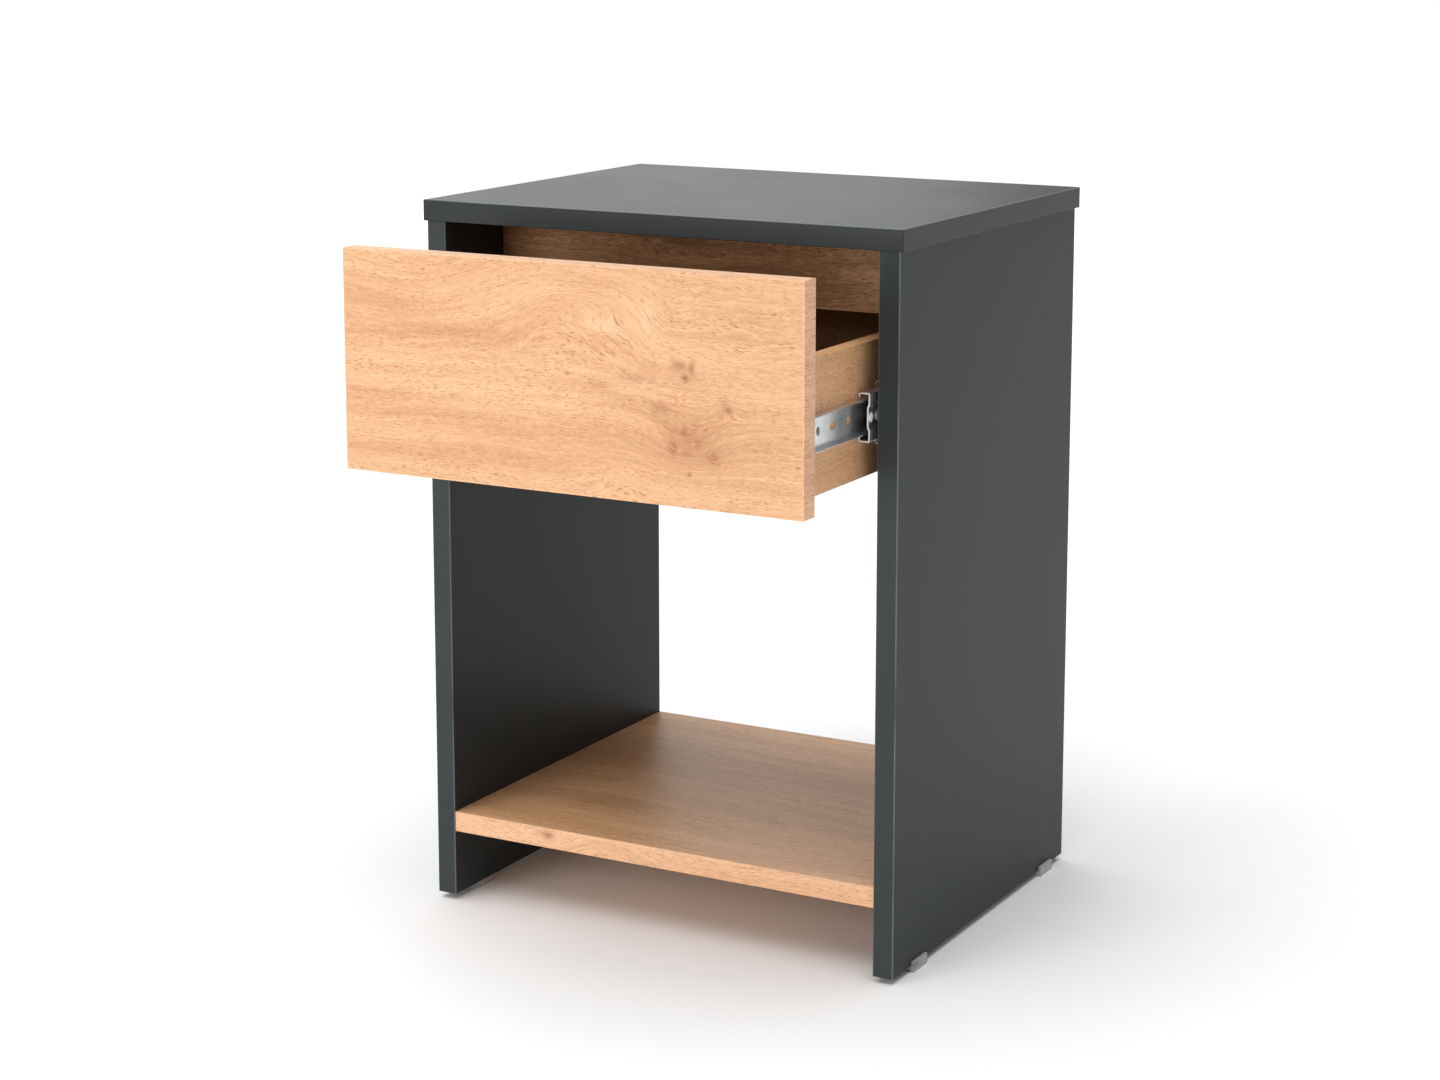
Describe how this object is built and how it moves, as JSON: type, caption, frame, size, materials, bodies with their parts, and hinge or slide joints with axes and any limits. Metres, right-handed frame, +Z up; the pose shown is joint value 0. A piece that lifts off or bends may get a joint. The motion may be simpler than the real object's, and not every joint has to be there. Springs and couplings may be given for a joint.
{
  "type": "side table with drawer",
  "caption": "Bedside side table with anthracite laminate top and sides, an open oak-look shelf and an overlay drawer on ball-bearing slides, shown partly open.",
  "frame": {"origin": "centre of the bounding box's base as stored, on the floor, with the drawer 106 mm open", "axes": "+X to the right seen from the front, +Y from the front to the back, +Z up; the drawer opens towards -Y"},
  "size_m": [0.4, 0.445, 0.55],
  "materials": {
    "anthracite_board": "matt anthracite melamine laminate on chipboard",
    "anthracite_edge": "anthracite ABS edge band",
    "oak_board": "matt oak-look melamine laminate with knots on chipboard",
    "oak_edge": "oak-look ABS edge band",
    "drawer_bottom_board": "thin fibreboard with an oak-look face",
    "slide_steel": "bright zinc-plated cold-rolled steel",
    "cage_steel": "thin zinc-plated strip",
    "bearing_steel": "polished ball steel",
    "screw_steel": "zinc-plated steel",
    "cam_zinc": "die-cast zinc",
    "beech": "turned beech dowel with flutes",
    "glide_plastic": "grey moulded plastic",
    "lever_plastic": "black moulded plastic",
    "stop_rubber": "black rubber"
  },
  "bodies": {
    "cabinet": {"back_cam_bolts": "screw_steel", "back_cams": "cam_zinc", "back_dowels": "beech", "back_panel": "oak_board", "case_slide_screws": "screw_steel", "glide_back_left": "glide_plastic", "glide_back_right": "glide_plastic", "glide_front_left": "glide_plastic", "glide_front_right": "glide_plastic", "glide_nails": "screw_steel", "rail_and_back_edge_bands": "oak_edge", "rail_cam_bolts": "screw_steel", "rail_cams": "cam_zinc", "rail_dowels": "beech", "shelf": "oak_board", "shelf_cam_bolts": "screw_steel", "shelf_cams": "cam_zinc", "shelf_dowels": "beech", "shelf_edge_band": "oak_edge", "side_left": "anthracite_board", "side_left_edge_bands": "anthracite_edge", "side_right": "anthracite_board", "side_right_edge_bands": "anthracite_edge", "slide_case_member_left": "slide_steel", "slide_case_member_right": "slide_steel", "slide_end_stop_left": "stop_rubber", "slide_end_stop_right": "stop_rubber", "top_cam_bolts": "screw_steel", "top_cams": "cam_zinc", "top_dowels": "beech", "top_edge_bands": "anthracite_edge", "top_panel": "anthracite_board", "top_rail": "oak_board"},
    "middle_right": {"slide_middle_member_right": "slide_steel"},
    "middle_left": {"slide_middle_member_left": "slide_steel"},
    "outer_cage_right": {"outer_ball_cage_right": "cage_steel", "outer_balls_right": "bearing_steel"},
    "outer_cage_left": {"outer_ball_cage_left": "cage_steel", "outer_balls_left": "bearing_steel"},
    "drawer": {"drawer_back": "oak_board", "drawer_back_screws": "screw_steel", "drawer_bottom": "drawer_bottom_board", "drawer_bottom_screws": "screw_steel", "drawer_front": "oak_board", "drawer_front_cam_bolts": "screw_steel", "drawer_front_cams": "cam_zinc", "drawer_front_dowels": "beech", "drawer_front_edge_bands": "oak_edge", "drawer_side_left": "oak_board", "drawer_side_right": "oak_board", "drawer_slide_screws": "screw_steel", "release_lever_pins": "screw_steel", "slide_drawer_member_left": "slide_steel", "slide_drawer_member_right": "slide_steel"},
    "inner_cage_right": {"inner_ball_cage_right": "cage_steel", "inner_balls_right": "bearing_steel"},
    "inner_cage_left": {"inner_ball_cage_left": "cage_steel", "inner_balls_left": "bearing_steel"},
    "release_lever_right": {"release_lever_right": "lever_plastic"},
    "release_lever_left": {"release_lever_left": "lever_plastic"}
  },
  "joints": [
    {"name": "middle_slide_right", "type": "slide", "parent": "cabinet", "child": "middle_right", "axis": [0, -1, 0], "range_m": [-0.024, 0.119]},
    {"name": "drawer_slide", "type": "slide", "parent": "middle_right", "child": "drawer", "axis": [0, -1, 0], "range_m": [-0.082, 0.061]},
    {"name": "middle_slide_left", "type": "slide", "parent": "cabinet", "child": "middle_left", "axis": [0, -1, 0], "range_m": [-0.024, 0.119]},
    {"name": "outer_cage_slide_right", "type": "slide", "parent": "cabinet", "child": "outer_cage_right", "axis": [0, -1, 0], "range_m": [-0.012, 0.0595]},
    {"name": "outer_cage_slide_left", "type": "slide", "parent": "cabinet", "child": "outer_cage_left", "axis": [0, -1, 0], "range_m": [-0.012, 0.0595]},
    {"name": "inner_cage_slide_right", "type": "slide", "parent": "middle_right", "child": "inner_cage_right", "axis": [0, -1, 0], "range_m": [-0.041, 0.0305]},
    {"name": "inner_cage_slide_left", "type": "slide", "parent": "middle_left", "child": "inner_cage_left", "axis": [0, -1, 0], "range_m": [-0.041, 0.0305]},
    {"name": "release_lever_hinge_right", "type": "hinge", "parent": "drawer", "child": "release_lever_right", "pos_m": [0.1704, -0.0085, 0.417], "axis": [1, 0, 0], "range_deg": [-8, 8], "stiffness_Nm_per_rad": 0.02},
    {"name": "release_lever_hinge_left", "type": "hinge", "parent": "drawer", "child": "release_lever_left", "pos_m": [-0.1704, -0.0085, 0.417], "axis": [1, 0, 0], "range_deg": [-8, 8], "stiffness_Nm_per_rad": 0.02}
  ],
  "couplings": [
    {"joint": "middle_slide_left", "follows": "middle_slide_right", "ratio": 1},
    {"joint": "outer_cage_slide_right", "follows": "middle_slide_right", "ratio": 0.5},
    {"joint": "outer_cage_slide_left", "follows": "middle_slide_right", "ratio": 0.5},
    {"joint": "inner_cage_slide_right", "follows": "drawer_slide", "ratio": 0.5},
    {"joint": "inner_cage_slide_left", "follows": "drawer_slide", "ratio": 0.5}
  ]
}
